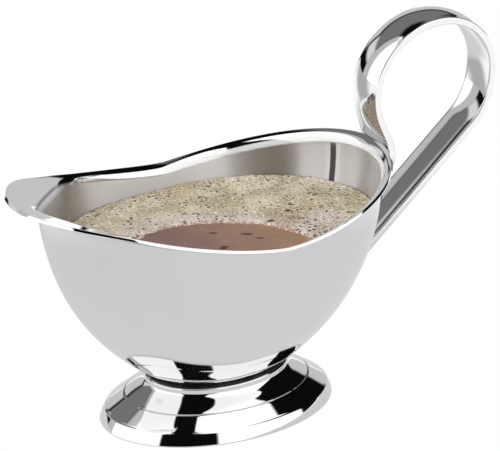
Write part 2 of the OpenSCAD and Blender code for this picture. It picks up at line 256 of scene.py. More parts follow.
def bowl_mesh(material):
    last, last_in = outer[-1], inner[-1]
    mid = (last + last_in) / 2
    half = (last_in - last) / 2
    edge = []
    # only the tongue's edge faces a little upwards
    look_up = (EDGE_DRAFT * smooth01((-np.cos(bowl_u) - 0.9) / 0.08))[:, None]
    for a in np.linspace(0, math.pi, EDGE_N + 1)[1:-1]:
        across, beyond = math.cos(a), math.sin(a) ** 0.35
        square = math.copysign(abs(across) ** 0.35, across)
        edge.append(mid - half * square + lip_out * beyond * (EDGE_OUT + look_up * square))
    rows = list(outer) + edge + list(inner[::-1])
    n = BOWL_AROUND
    verts = np.concatenate(rows + [[[0, 0, BOTTOM_Z]], [[0, 0, BOTTOM_Z + SHEET_T]]])
    faces = strip_faces(len(rows), n)
    pole, pole_in = len(rows) * n, len(rows) * n + 1
    faces += [(pole, (j + 1) % n, j) for j in range(n)]
    top = (len(rows) - 1) * n
    faces += [(pole_in, top + j, top + (j + 1) % n) for j in range(n)]
    o = mesh_piece("gravy_boat_bowl", verts, faces, ["bowl"], material)
    # the inside is satin from a little below the rim down; at the spout it starts at the crease,
    # which holds a dark line of painted shade
    c = -np.cos(bowl_u)
    row = np.arange(len(inner))[:, None] - (CAP_N + WALL_N)
    deep = rim_z(inner[..., 0]) - inner[..., 2]
    by_depth = smooth01((deep - 3.0) / 0.5 + 0.5)
    spout = smooth01((c - 0.45) / 0.3)
    satin, crease, painted_highlight = (np.zeros(len(verts)) for _ in range(3))
    # painted highlight: a band about 1 to 3 mm below the rim, away from the spout, which the material turns
    # matt white
    band = smooth01((deep - 0.8) / 0.4) * smooth01((3.2 - deep) / 0.6) * smooth01((0.15 - c) / 0.2)
    painted_highlight[-2 - inner.shape[0] * n:-2] = band[::-1].ravel()
    satin[-2 - inner.shape[0] * n:-2] = mix(by_depth, smooth01((9.5 - row) / 2), spout)[::-1].ravel()
    satin[-1] = 1
    # painted shade along the crease of the spout
    line = np.exp(-((row - 8.5) / 1.5) ** 2) * smooth01((c - 0.60) / 0.2)
    crease[-2 - inner.shape[0] * n:-2] = line[::-1].ravel()
    for name, values in (("satin", satin), ("crease", crease), ("painted_highlight", painted_highlight)):
        o.data.attributes.new(name, "FLOAT", "POINT").data.foreach_set("value", values)
    return o


# ---------------------------------------------------------------- foot
FOOT_AROUND = 288


def foot_section():
    """The foot's outside as [radius, height]: drafted edge, shelf, crease ring, flare, neck and ledge."""
    end, ring, neck = FOOT_HALF_L, np.array([RING_HALF_L, RING_Z]), NECK_HALF_L + NECK_LEDGE

    def pts(*p):
        p = [np.array(q, float) for q in p]
        return (bez2 if len(p) == 3 else bez3), p

    top = np.array([end - EDGE_LEAN, FOOT_EDGE_H - 0.5])
    low, shelf = top + [-0.5, 0.48], top + [-0.95, 0.75]
    spans = [
        (pts((end, 0.3), top + [1.3, -2.5], top + [0.7, -1.2], top), 20),
        (pts(top, top + [-0.18, 0.35], low), 6),
        (pts(low, low + [-0.3, 0.13], shelf), 6),
        (pts(shelf, mix(shelf, ring + [0.45, -0.15], 0.5), ring + [0.45, -0.15]), 20),
        (pts(ring + [0.45, -0.15], ring + [0.15, 0.05], ring + [-0.2, 0.08]), 6),
        (pts(ring + [-0.2, 0.08], ring + [-0.5, 0.1], ring + [-0.8, 0.3]), 6),
        (pts(ring + [-0.8, 0.3], ring + [-3.7, 2.15], (neck + 1.15, NECK_Z - 1.35), (neck + 0.12, NECK_Z)), 36),
        (pts((neck + 0.12, NECK_Z), (neck, NECK_Z + 0.15), (neck, NECK_Z + 0.4)), 5),
        (pts((neck, NECK_Z + 0.4), (neck, NECK_Z + 0.9), (neck, LEDGE_Z - 0.25)), 6),
        (pts((neck, LEDGE_Z - 0.25), (neck, LEDGE_Z - 0.02), (neck - 0.28, LEDGE_Z + 0.1)), 6),
        (pts((neck - 0.28, LEDGE_Z + 0.1), ((neck + NECK_HALF_L) / 2, (LEDGE_Z + SEAT_Z) / 2),
             (NECK_HALF_L, SEAT_Z - 0.05)), 8),
    ]
    out = [[end - 0.3, 0], [end - 0.09, 0.07], [end, 0.3]]
    for (curve, p), n in spans:
        out += [curve(*p, t) for t in np.linspace(0, 1, n + 1)[1:]]
    return np.array(out)


def oval_rows(section, n):
    a = np.linspace(0, 2 * math.pi, n, endpoint=False)
    return np.array([np.stack([r * np.cos(a), r * FOOT_ASPECT * np.sin(a), np.full(n, z)], -1)
                     for r, z in section])


def foot_mesh(material):
    out = foot_section()
    top, ring = np.array([FOOT_HALF_L - EDGE_LEAN, FOOT_EDGE_H - 0.5]), np.array([RING_HALF_L, RING_Z])
    neck, t = NECK_HALF_L + NECK_LEDGE, FOOT_T
    corners = [(FOOT_HALF_L - t, 0.3),
               top + [0.9 - t, -1.6],
               top + [-t, -0.55 * t],
               top + [-0.95 - 0.55 * t, 0.75 - 0.84 * t],
               ring - [0.5 * t, 0.95 * t],
               ring + [-3.9 - 0.6 * t, 2.0 - 0.8 * t],
               (neck + 1.1 - 0.8 * t, NECK_Z - 1.2 - 0.6 * t),
               (neck - t, NECK_Z),
               (neck - t, LEDGE_Z - 0.7),
               (NECK_HALF_L - 0.35, SEAT_Z - 0.05 - t)]
    ins = []
    for i, p in enumerate(corners[:-1]):      # straight runs with softened corners
        ins += [mix(np.array(p), np.array(corners[i + 1]), f) for f in (0, 0.12, 0.5, 0.88)]
    ins = np.array(ins + [corners[-1]])
    for _ in range(2):
        ins[1:-1] = (ins[:-2] + 2 * ins[1:-1] + ins[2:]) / 4
    section = np.concatenate([out, ins[::-1], [[FOOT_HALF_L - t + 0.25, 0]]])
    rows = oval_rows(section, FOOT_AROUND)
    verts = rows.reshape(-1, 3)
    faces = strip_faces(len(section), FOOT_AROUND, True)
    return mesh_piece("oval_foot", verts, faces, ["foot"], material)


# ---------------------------------------------------------------- handle
SIDE_Z, SIDE_X, CROWN_X, REAR_Z = 109.0, 63.9, 90.6, 111.5
RUN_END = np.array([57.5, 48.5])
RUN_START = np.array([105.9, 48.5 + (105.9 - 57.5) * math.tan(RUN_SLOPE)])
END_LOW, AT_RIM = np.array([66.6, 75.0]), np.array([70.2, 86.5])
KAPPA = 0.5523
FLARE_END_Z = SIDE_Z - 4
EDGE_R = 0.55


def handle_spans():
    side, crown = np.array([SIDE_X, SIDE_Z]), np.array([CROWN_X, LOOP_TOP_Z])
    rear = np.array([LOOP_REAR_X, REAR_Z])
    up, right = np.array([0.0, 1.0]), np.array([1.0, 0.0])
    start_dir = np.array([math.cos(math.radians(78)), math.sin(math.radians(78))])
    run_dir = np.array([math.cos(RUN_SLOPE), math.sin(RUN_SLOPE)])
    return [
        (END_LOW, END_LOW + 4 * start_dir, AT_RIM - 4 * up, AT_RIM),
        (AT_RIM, AT_RIM + 7 * up, side - 11 * up, side),
        (side, side + up * KAPPA * (LOOP_TOP_Z - SIDE_Z), crown - right * KAPPA * (CROWN_X - SIDE_X), crown),
        (crown, crown + right * KAPPA * (LOOP_REAR_X - CROWN_X),
         rear + up * KAPPA * (LOOP_TOP_Z - REAR_Z), rear),
        (rear, rear - 9 * up, RUN_START + 8 * run_dir, RUN_START),
        (RUN_START, mix(RUN_START, RUN_END, 1 / 3), mix(RUN_START, RUN_END, 2 / 3), RUN_END),
    ]


def strap_outline(w, crown, hollow):
    """One cross-section of the strap as (across, out) pairs, with rounded edges."""
    h, r = STRAP_T / 2, EDGE_R
    f = np.linspace(-1, 1, 21)
    top = [[x * (w - r), h + crown * (1 - x * x)] for x in f]
    under = [[x * (w - r), -h + hollow * (1 - x * x)] for x in f[::-1]]
    bend = np.linspace(0, math.pi / 2, 7)[1:]
    right = [[w - r + r * math.sin(a), h - r + r * math.cos(a)] for a in bend]
    right += [[w, 0.0]]
    right += [[w - r + r * math.cos(a), -h + r - r * math.sin(a)] for a in np.linspace(0, math.pi / 2, 7)[:-1]]
    left = [[-x, y] for x, y in right[::-1]]
    return np.array(top + right + under + left)


def handle_mesh(material, wall):
    rings = []
    steps = [10, 22, 44, 40, 24, 40]
    for s, (span, count) in enumerate(zip(handle_spans(), steps)):
        for t in np.linspace(0, 1, count + 1)[(1 if s else 0):]:
            p, d = bez3(*span, t), unit(dbez3(*span, t))
            base = 0 if s > 1 else float(np.clip((FLARE_END_Z - p[1]) / (FLARE_END_Z - AT_RIM[1]), 0, 1)) ** 1.6
            w = STRAP_HALF_W + STRAP_FLARE * base * ((0.4 + 0.6 * t) if s == 0 else 1)
            q = strap_outline(w, STRAP_CROWN * (1 - base), STRAP_HOLLOW * (1 - base))
            out = np.array([-d[1], d[0]])
            bow = -base * (FLANGE_REAR - MOUTH_MID) * (1 - np.sqrt(1 - (q[:, 0] / FLANGE_HALF_W) ** 2))
            rings.append(np.stack([p[0] + out[0] * q[:, 1] + bow, q[:, 0], p[1] + out[1] * q[:, 1]], -1))
    # the lower end stops inside the thickness of the rear wall
    run = np.array([-math.cos(RUN_SLOPE), 0, -math.sin(RUN_SLOPE)])
    bite, last = 0.35, steps[-1]
    ends = []
    for p in rings[-last]:
        hit = wall.ray_cast(Vector(p), Vector(run))
        ends.append(p + run * (hit[3] + bite))
    ends = np.array(ends)
    start = rings[-last]
    for i in range(1 - last, 0):
        rings[i] = mix(start, ends, (last + i) / (last - 1.0))
    strap_end = ends - run * bite
    n, m = len(rings[0]), len(rings)
    verts = np.concatenate(rings + [rings[0].mean(0, keepdims=True), rings[-1].mean(0, keepdims=True)])
    faces = strip_faces(m, n)
    faces += [(m * n, (j + 1) % n, j) for j in range(n)]
    faces += [(m * n + 1, (m - 1) * n + j, (m - 1) * n + (j + 1) % n) for j in range(n)]
    mesh_piece("loop_handle", verts, turned_over(faces), ["handle"], material)
    return strap_end


# ---------------------------------------------------------------- welds
LOWER_BEAD, UPPER_BEAD = 0.62, 0.8


def bead(name, path, r, closed, node, material, wobble=0.0, sides=14):
    """A round bead along a path, its thickness varying a little as a weld's does."""
    path = np.asarray(path, float)
    n = len(path)
    d = np.roll(path, -1, 0) - np.roll(path, 1, 0)
    if not closed:
        d[0], d[-1] = path[1] - path[0], path[-1] - path[-2]
    d = unit(d)
    side = unit(np.cross(d, [0.2, 0.1, 1.0]))
    up = np.cross(side, d)
    a = np.linspace(0, 2 * math.pi, sides, endpoint=False)
    k = np.arange(n)
    size = r * (1 + wobble * np.sin(k * 1.9) * (0.6 + 0.4 * np.sin(k * 0.37)))
    if not closed:
        size = size * np.sqrt(np.clip(np.sin(math.pi * (k + 0.6) / (n + 0.2)) * 3, 0.05, 1))
    round_it = np.cos(a)[None, :, None] * side[:, None] + np.sin(a)[None, :, None] * up[:, None]
    rings = path[:, None] + size[:, None, None] * round_it
    verts = list(rings.reshape(-1, 3))
    faces = strip_faces(n, sides, closed)
    if not closed:
        verts += [path[0], path[-1]]
        faces += [(n * sides, (j + 1) % sides, j) for j in range(sides)]
        faces += [(n * sides + 1, (n - 1) * sides + j, (n - 1) * sides + (j + 1) % sides) for j in range(sides)]
    return mesh_piece(name, verts, turned_over(faces), [node], material)


def seat_weld(material):
    """The ring of weld in the corner between the foot's ledge and the bowl's underside, coloured near black as
    painted shade of that corner.
    """
    j = np.linspace(0, 2 * math.pi, BOWL_AROUND, endpoint=False)
    ring = np.stack([(NECK_HALF_L + 0.75) * np.cos(j), (NECK_HALF_L + 0.75) * FOOT_ASPECT * np.sin(j),
                     np.full(BOWL_AROUND, SEAT_Z - 0.12)], -1)
    return bead("seat_weld_bead", ring, SEAT_BEAD, True, "foot_weld", material, 0.05, 12)


def handle_welds(material, strap_end):
    mid = strap_end.mean(0)
    loop = []
    for p in strap_end:
        loop.append(mid + (p - mid) * (1 + 0.35 / max(np.linalg.norm(p - mid), 1.0)))
    loop = np.array(loop) + [0.32, 0, -0.1]
    bead("lower_handle_weld", loop, LOWER_BEAD, True, "handle_lower_weld", material, 0.06)
    rear = np.argsort(np.abs((bowl_u + math.pi) % (2 * math.pi) - math.pi))[:23]
    rear = sorted(rear, key=lambda i: (bowl_u[i] + math.pi) % (2 * math.pi))
    edge = outer[-1][rear] + [0.35, 0, -0.35]
    bead("upper_handle_weld", edge, UPPER_BEAD, False, "handle_upper_weld", material, 0.06)


# ---------------------------------------------------------------- gravy and froth
WALL_GAP, MENISCUS = 0.08, 0.45
POOL_MID, POOL_HALF = (3.0, 14.0), (31.5, 20.8)    # the clear pool, in the frame of someone at the camera
VIEW_TURN = CAM_AZ


def wet_ring(z, gap):
    """The ring at height z on the bowl's inner surface, moved in by gap."""
    rows = CAP_N + WALL_N
    wet = (outer + inward * (SHEET_T + gap))[:rows]
    return np.array([[np.interp(z, wet[:, j, 2], wet[:, j, 0]), np.interp(z, wet[:, j, 2], wet[:, j, 1]), z]
                     for j in range(BOWL_AROUND)])


def gravy_mesh(material):
    wet = outer + inward * (SHEET_T + WALL_GAP)
    rows = [wet[i] for i in range(CAP_N)]
    rows += [wet_ring(z, WALL_GAP) for z in np.linspace(19, GRAVY_Z + MENISCUS, 30)]
    rim, centre = rows[-1], np.array([MOUTH_MID, 0, GRAVY_Z])
    for f in 1 - np.linspace(0, 1, 44)[1:-1] ** 1.9:
        ring = mix(centre, rim, f)
        gap = np.hypot(*(ring - rim)[:, :2].T)
        ring[:, 2] = GRAVY_Z + MENISCUS * np.exp(-gap / 0.8)
        rows.append(ring)
    n = BOWL_AROUND
    verts = np.concatenate(rows + [[[0, 0, wet[0, :, 2].min()]], [centre]])
    faces = strip_faces(len(rows), n)
    low, top = len(rows) * n, len(rows) * n + 1
    last = (len(rows) - 1) * n
    faces += [(low, (j + 1) % n, j) for j in range(n)] + [(top, last + j, last + (j + 1) % n) for j in range(n)]
    return mesh_piece("gravy", verts, faces, [], material)


def lattice(seed, cells):
    return np.random.default_rng(seed).random((cells, cells))


def value_noise(x, y, size, seed, cells=256):
    """Smooth random field, 0 to 1, with features about size across."""
    g = lattice(seed, cells)
    u, v = x / size + 1000, y / size + 1000
    i, j = np.floor(u).astype(int), np.floor(v).astype(int)
    a, b = smooth01(u - i), smooth01(v - j)
    i, j, i1, j1 = i % cells, j % cells, (i + 1) % cells, (j + 1) % cells
    return (g[i, j] * (1 - a) + g[i1, j] * a) * (1 - b) + (g[i, j1] * (1 - a) + g[i1, j1] * a) * b


def turned(x, y):
    c, s = math.cos(VIEW_TURN), math.sin(VIEW_TURN)
    return x * c + y * s, x * s - y * c


def pool_depth(x, y):
    """Below 1 inside the clear pool, above 1 in the froth; its edge is ragged."""
    u, v = turned(x, y)
    r = np.hypot((u - POOL_MID[0]) / POOL_HALF[0], (v - POOL_MID[1]) / POOL_HALF[1])
    return r + 0.05 * (value_noise(x, y, 3.2, 5) - 0.5) + 0.035 * (value_noise(x, y, 1.1, 6) - 0.5)


def bubble_field(x, y, cell, seed, low, high, share):
    """Domed bubbles, one at most in each cell: the dome's height at each point, 1 at a bubble's middle."""
    g = np.random.default_rng(seed)
    cells = 512
    ox, oy, size, there = (g.random((cells, cells)) for _ in range(4))
    u, v = x / cell + 2000, y / cell + 2000
    best = np.zeros_like(x)
    for di in (-1, 0, 1):
        for dj in (-1, 0, 1):
            i, j = np.floor(u).astype(int) + di, np.floor(v).astype(int) + dj
            k, l = i % cells, j % cells
            r = mix(low, high, size[k, l] ** 2) / cell
            d = np.hypot(u - (i + 0.15 + 0.7 * ox[k, l]), v - (j + 0.15 + 0.7 * oy[k, l])) / r
            here = np.where(there[k, l] < share, np.sqrt(np.clip(1 - d * d, 0, 1)), 0)
            best = np.maximum(best, here)
    return best


FOAM_AROUND, FOAM_RINGS = 640, 150


def large_bubbles():
    """Stretched bubbles as (x, y, half length, half width), scattered, with one placed in the pool."""
    g = np.random.default_rng(21)
    spots = [(g.uniform(-20, 50), g.uniform(-22, 22), g.uniform(1.0, 1.9), g.uniform(0.5, 0.8))
             for _ in range(12)]
    return spots + [(8, -8, 2.6, 0.7)]


def foam_mesh(material):
    ring = wet_ring(GRAVY_Z + 0.3, WALL_GAP + 0.12)
    a = np.arange(FOAM_AROUND) * BOWL_AROUND / FOAM_AROUND
    i = np.floor(a).astype(int)
    rim = mix(ring[i % BOWL_AROUND], ring[(i + 1) % BOWL_AROUND], (a - i)[:, None])
    centre = np.array([MOUTH_MID, 0, 0.0])
    f = np.linspace(1, 0.012, FOAM_RINGS) ** 0.75
    x = centre[0] + (rim[:, 0] - centre[0]) * f[:, None]
    y = rim[:, 1] * f[:, None]
    depth = pool_depth(x, y)
    froth = smooth01((depth - 0.97) / 0.16)
    from_wall = np.hypot(rim[:, 0] - x, rim[:, 1] - y)
    fine = bubble_field(x, y, 1.0, 11, 0.25, 0.62, 0.85)
    mid = bubble_field(x, y, 2.0, 12, 0.35, 0.95, 0.8)
    big, shade = np.zeros_like(x), np.zeros_like(x)
    for bx, by, long, wide in large_bubbles():
        u, v = turned(x - bx, y - by)
        r = np.hypot(u / long, v / wide)
        big = np.maximum(big, np.exp(-((r - 1.15) / 0.35) ** 2))
        shade = np.maximum(shade, smooth01(1.5 - r))
    u, v = turned(x, y)
    ragged = 0.5 * (value_noise(x, y, 4, 15) - 0.5) + 0.4 * (value_noise(x, y, 1.2, 16) - 0.5)
    pale = smooth01(1.5 - np.hypot((u - 39) / 8, (v + 9) / 8) + ragged)
    brown = smooth01(1.6 - np.hypot((u - 24.5) / 7, (v + 12) / 8) + ragged)
    body = 0.55 + 0.5 * value_noise(x, y, 7, 13) + 0.25 * value_noise(x, y, 2, 14)
    z = GRAVY_Z - 0.35 + froth * (0.5 + body) + froth * (0.16 * fine + 0.42 * mid)
    z += 0.5 * np.exp(-from_wall / 0.9) * froth + 0.3 * big - 0.45 * shade + (1 - froth) * 0.95 * shade
    rows = [np.stack([x[k], y[k], z[k]], -1) for k in range(FOAM_RINGS)]
    flat = np.full(FOAM_AROUND, GRAVY_Z - 0.9)
    base = [np.stack([x[k], y[k], flat], -1) for k in (0, FOAM_RINGS // 2, FOAM_RINGS - 1)]
    all_rows = base[::-1] + rows
    n = FOAM_AROUND
    verts = np.concatenate(all_rows + [[[MOUTH_MID, 0, GRAVY_Z - 0.9]], [[MOUTH_MID, 0, z[-1].mean()]]])
    faces = strip_faces(len(all_rows), n)
    low, top = len(all_rows) * n, len(all_rows) * n + 1
    last = (len(all_rows) - 1) * n
    faces += [(low, (j + 1) % n, j) for j in range(n)] + [(top, last + j, last + (j + 1) % n) for j in range(n)]
    o = mesh_piece("gravy_foam", verts, faces, [], material)
    fields = {"bubble": mid, "pool": depth, "big": shade, "froth": froth, "pale": pale, "brown": brown}
    for name, field in fields.items():
        att = o.data.attributes.new(name, "FLOAT", "POINT")
        values = np.zeros(len(verts))
        values[3 * n:3 * n + field.size] = field.ravel()
        att.data.foreach_set("value", values)
    return o


# ---------------------------------------------------------------- materials
class Graph:
    """Short names for the math nodes of one node tree."""

    def __init__(self, nt):
        self.nt = nt

    def node(self, kind, **settings):
        n = self.nt.nodes.new(kind)
        for k, v in settings.items():
            if k in n.inputs:
                self.put(n.inputs[k], v)
            else:
                setattr(n, k, v)
        return n

    def put(self, socket, value):
        if isinstance(value, bpy.types.NodeSocket):
            self.nt.links.new(value, socket)
        else:
            socket.default_value = value

    def math(self, op, *values):
        n = self.node("ShaderNodeMath", operation=op)
        for i, v in enumerate(values):
            self.put(n.inputs[i], v)
        return n.outputs[0]

    def scaled(self, value, lo, hi, out_lo=0.0, out_hi=1.0, kind="SMOOTHSTEP"):
        n = self.node("ShaderNodeMapRange", interpolation_type=kind)
        for i, v in enumerate((value, lo, hi, out_lo, out_hi)):
            self.put(n.inputs[i], v)
        return n.outputs[0]

    def ramp(self, value, lo, hi):
        return self.scaled(value, lo, hi)

    def band(self, value, lo, hi, soft):
        up = self.ramp(value, lo - soft, lo + soft)
        down = self.ramp(value, hi - soft, hi + soft)
        return self.math("MULTIPLY", up, self.math("SUBTRACT", 1.0, down))

    def over(self, under, top, mask, blend="MIX"):
        n = self.node("ShaderNodeMix", data_type="RGBA", blend_type=blend)
        self.put(n.inputs[0], mask)
        for socket, v in ((n.inputs[6], under), (n.inputs[7], top)):
            self.put(socket, v)
        return n.outputs[2]

    def place(self, stretch=(1, 1, 1)):
        """Object coordinates, stretched."""
        n = self.node("ShaderNodeMapping")
        self.put(n.inputs[0], self.node("ShaderNodeTexCoord").outputs["Object"])
        self.put(n.inputs[3], stretch)
        return n.outputs[0]

    def noise(self, where, scale, detail=3.0, rough=0.5):
        n = self.node("ShaderNodeTexNoise")
        self.put(n.inputs["Vector"], where)
        for k, v in (("Scale", scale), ("Detail", detail), ("Roughness", rough)):
            self.put(n.inputs[k], v)
        return n.outputs["Fac"]

    def cells(self, where, scale):
        n = self.node("ShaderNodeTexVoronoi", feature="F1")
        self.put(n.inputs["Vector"], where)
        self.put(n.inputs["Scale"], scale)
        return n.outputs["Distance"]

    def bump(self, height, distance, strength=1.0, under=None):
        n = self.node("ShaderNodeBump")
        self.put(n.inputs["Height"], height)
        self.put(n.inputs["Distance"], distance)
        self.put(n.inputs["Strength"], strength)
        if under is not None:
            self.put(n.inputs["Normal"], under)
        return n.outputs[0]

    def times(self, first, *others):
        for value in others:
            first = self.math("MULTIPLY", first, value)
        return first

    def rest(self, value):
        return self.math("SUBTRACT", 1.0, value)

    def camera_sides(self, x, y):
        """How far a direction points to the camera's right, and towards the camera."""
        c, s = math.cos(CAM_AZ), math.sin(CAM_AZ)
        right = self.math("ADD", self.times(x, c), self.times(y, s))
        return right, self.math("SUBTRACT", self.times(x, s), self.times(y, c))

    def bearing(self, x, y):
        """Degrees round the boat: 0 towards the camera, positive to its right."""
        right, front = self.camera_sides(x, y)
        return self.math("MULTIPLY", self.math("ARCTAN2", right, front), 180 / math.pi)

    def attribute(self, name):
        return self.node("ShaderNodeAttribute", attribute_name=name).outputs["Fac"]


def grey(v, tint=(1, 1, 1)):
    return (v * tint[0], v * tint[1], v * tint[2], 1.0)


def new_material(name):
    m = bpy.data.materials.new(name)
    m.use_nodes = True
    m.node_tree.nodes.clear()
    g = Graph(m.node_tree)
    return m, g, g.node("ShaderNodeOutputMaterial")


def polished(g, tint, rough, grain):
    """Polished steel: smears that change its gloss, buffing scratches, a few pits and faint tarnish."""
    at = g.place()
    smear = g.noise(g.place((1, 1.6, 0.7)), 38, 4)
    fine = g.noise(g.place(grain), 900, 2)
    nicks = g.math("SUBTRACT", 1.0, g.ramp(g.cells(at, 260), 0.02, 0.05))
    patches = g.noise(at, 14, 3)
    tarnish = (tint[0] * 0.93, tint[1] * 0.925, tint[2] * 0.91, 1)
    colour = g.over(tint, tarnish, g.scaled(patches, 0.42, 0.72, 0.0, 0.55))
    colour = g.over(colour, (tint[0] * 0.8, tint[1] * 0.79, tint[2] * 0.76, 1), g.math("MULTIPLY", nicks, 0.25))
    gloss = g.math("ADD", g.scaled(smear, 0.4, 0.75, rough, rough * 1.9), g.math("MULTIPLY", nicks, 0.05))
    normal = g.bump(fine, 0.0000012)
    normal = g.bump(g.noise(at, 60, 2), 0.00002, 1.0, normal)
    b = g.node("ShaderNodeBsdfPrincipled", Metallic=1.0)
    for k, v in (("Base Color", colour), ("Roughness", gloss), ("Normal", normal)):
        g.put(b.inputs[k], v)
    return b.outputs[0]


def steel(name, tint=0.80, rough=0.03, grain=(1, 1, 0.03)):
    m, g, out = new_material(name)
    g.put(out.inputs[0], polished(g, grey(tint, (1.0, 1.002, 1.01)), rough, grain))
    return m


SATIN_ROUGH, SATIN_STRETCH = 0.34, 0.95
STRIPE_AT, STRIPE_HALF, STRIPE_EDGE = -57, 3.5, 6    # degrees: a painted reflection, a dark stripe with a bright edge on each side


def bowl_material():
    """Polished outside and rim; satin inside, brushed round the bowl, so that reflections smear up and down."""
    m, g, out = new_material("bowl_steel")
    bright = polished(g, grey(0.80, (1.0, 1.002, 1.01)), 0.035, (1, 1, 0.03))
    lines = g.noise(g.place((0.03, 0.03, 1)), 2600, 2)
    cloud = g.noise(g.place(), 30, 3)
    # a drawn stripe, not a traced reflection: it hangs on the mirrored bearing, so it moves with the viewer
    mirrored = g.node("ShaderNodeTexCoord").outputs["Reflection"]
    xyz = g.node("ShaderNodeSeparateXYZ")
    g.put(xyz.inputs[0], mirrored)
    away = g.math("ABSOLUTE", g.math("SUBTRACT", g.bearing(xyz.outputs[0], xyz.outputs[1]), STRIPE_AT))
    colour = g.over(grey(0.92), grey(0.82, (1.0, 0.985, 0.97)), g.scaled(cloud, 0.35, 0.7))
    colour = g.over(colour, grey(1.0), g.band(away, STRIPE_HALF, STRIPE_HALF + STRIPE_EDGE, 0.5))
    colour = g.over(grey(0.12), colour, g.ramp(away, STRIPE_HALF - 0.5, STRIPE_HALF + 0.5))
    b = g.node("ShaderNodeBsdfPrincipled", Metallic=1.0, Anisotropic=SATIN_STRETCH)
    b.inputs["Anisotropic Rotation"].default_value = 0.25
    g.put(b.inputs["Base Color"], colour)
    g.put(b.inputs["Roughness"], g.scaled(lines, 0.3, 0.7, SATIN_ROUGH - 0.03, SATIN_ROUGH + 0.04))
    g.put(b.inputs["Normal"], g.bump(lines, 0.000004))
    g.put(b.inputs["Tangent"], g.node("ShaderNodeTangent", direction_type="RADIAL", axis="Z").outputs[0])
    both = g.node("ShaderNodeMixShader")
    g.put(both.inputs[0], g.attribute("satin"))
    g.put(both.inputs[1], bright)
    g.put(both.inputs[2], b.outputs[0])
    ringed = g.node("ShaderNodeMixShader")           # painted highlight: a matt white ring just under the rim, standing in for a bright reflection
    g.put(ringed.inputs[0], g.math("MULTIPLY", g.attribute("painted_highlight"), 0.8))
    g.put(ringed.inputs[1], both.outputs[0])
    matt = g.node("ShaderNodeBsdfPrincipled", Roughness=0.5)
    g.put(matt.inputs["Base Color"], g.over(grey(0.90), grey(0.78), g.scaled(lines, 0.35, 0.7)))
    g.put(ringed.inputs[2], matt.outputs[0])
    stain_and_shade = g.node("ShaderNodeMixShader")          # painted shade: a dark line in the crease of the spout
    g.put(stain_and_shade.inputs[0], g.math("MULTIPLY", g.attribute("crease"), 0.85))
    g.put(stain_and_shade.inputs[1], ringed.outputs[0])
    crease_shade = g.node("ShaderNodeBsdfPrincipled", Roughness=0.35)
    crease_shade.inputs["Base Color"].default_value = (0.03, 0.022, 0.018, 1)
    g.put(stain_and_shade.inputs[2], crease_shade.outputs[0])
    g.put(out.inputs[0], stain_and_shade.outputs[0])
    return m


def weld_material(name, tint, rough, dark):
    m, g, out = new_material(name)
    at = g.place()
    ripples = g.noise(at, 700, 3)
    stain = g.noise(at, 160, 4)
    b = g.node("ShaderNodeBsdfPrincipled", Metallic=1.0)
    stain_and_shade = grey(tint * dark, (1.0, 0.97, 0.93))
    g.put(b.inputs["Base Color"], g.over(grey(tint), stain_and_shade, g.scaled(stain, 0.35, 0.65)))
    g.put(b.inputs["Roughness"], g.scaled(ripples, 0.3, 0.7, rough, rough * 1.7))
    g.put(b.inputs["Normal"], g.bump(ripples, 0.00005))
    g.put(out.inputs[0], b.outputs[0])
    return m


def gravy_material():
    m, g, out = new_material("gravy")
    at = g.place()
    spot = g.node("ShaderNodeSeparateXYZ")
    g.put(spot.inputs[0], at)
    along = g.scaled(spot.outputs[0], (FOOT_X - 25) * MM, (FOOT_X + 42) * MM)
    cloud = g.noise(at, 90, 4)
    swirl = g.noise(g.place((1, 0.5, 1)), 35, 2)
    # the gravy's own brown, grading lighter and warmer towards the right as a painted highlight
    base = g.over((0.27, 0.165, 0.145, 1), (0.52, 0.30, 0.155, 1), along)
    base = g.over(base, (0.22, 0.13, 0.105, 1), g.scaled(swirl, 0.4, 0.75, 0.0, 0.4))
    base = g.over(base, (0.36, 0.25, 0.20, 1), g.scaled(cloud, 0.3, 0.9, 0.0, 0.15))
    specks = g.math("SUBTRACT", 1.0, g.ramp(g.cells(at, 700), 0.10, 0.24))
    base = g.over(base, (0.16, 0.075, 0.04, 1), g.math("MULTIPLY", specks, 0.35))
    b = g.node("ShaderNodeBsdfPrincipled", IOR=1.36)
    g.put(b.inputs["Base Color"], base)
    g.put(b.inputs["Roughness"], g.scaled(cloud, 0.3, 0.7, 0.16, 0.30))
    g.put(b.inputs["Normal"], g.bump(g.noise(at, 120, 3), 0.00008))
    g.put(out.inputs[0], b.outputs[0])
    return m


